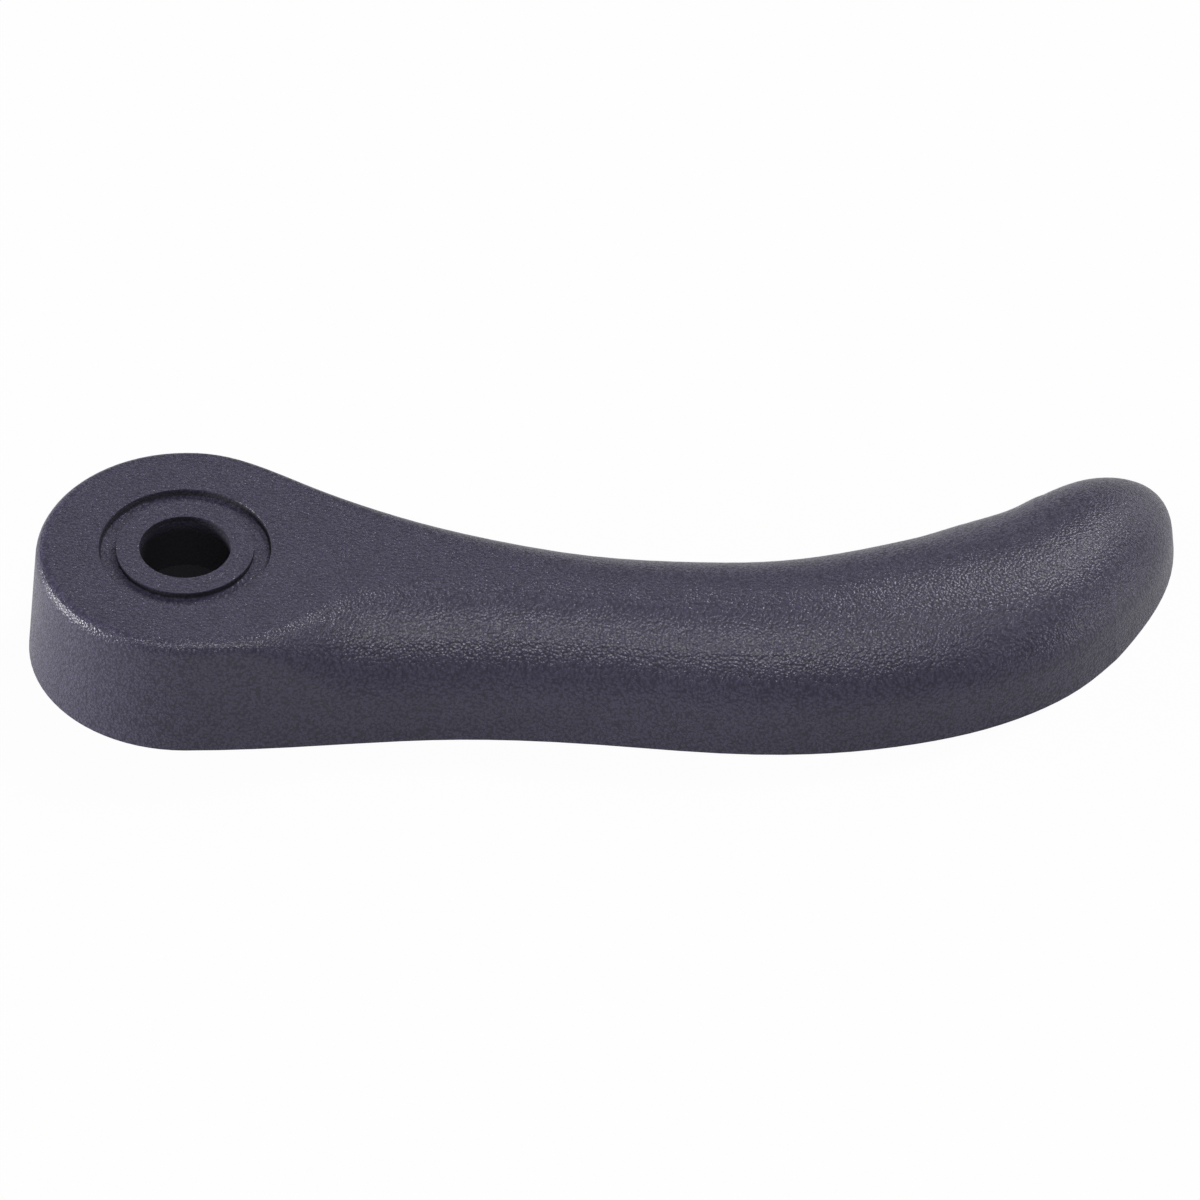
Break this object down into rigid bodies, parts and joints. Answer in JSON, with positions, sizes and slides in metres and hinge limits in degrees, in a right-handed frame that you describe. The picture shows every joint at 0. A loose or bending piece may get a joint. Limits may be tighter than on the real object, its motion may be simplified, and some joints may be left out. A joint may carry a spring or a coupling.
{
  "type": "recliner pull handle",
  "caption": "Curved one-piece moulded recliner lever: round head with a recessed screw seat and cap groove, arched arm and rounded tip, ribbed hollow back with a square shaft socket.",
  "frame": {"origin": "on the shaft axis, in the plane of the back face", "axes": "+X along the arm, +Y to the side the tip curves to, +Z out of the front face, so -Z is the way out of the shaft socket"},
  "size_m": [0.1491, 0.0488, 0.0172],
  "materials": {
    "moulded_body": "fine pebble grain, charcoal, semi-matt"
  },
  "bodies": {
    "root": {"pull_handle": "moulded_body"}
  },
  "joints": []
}
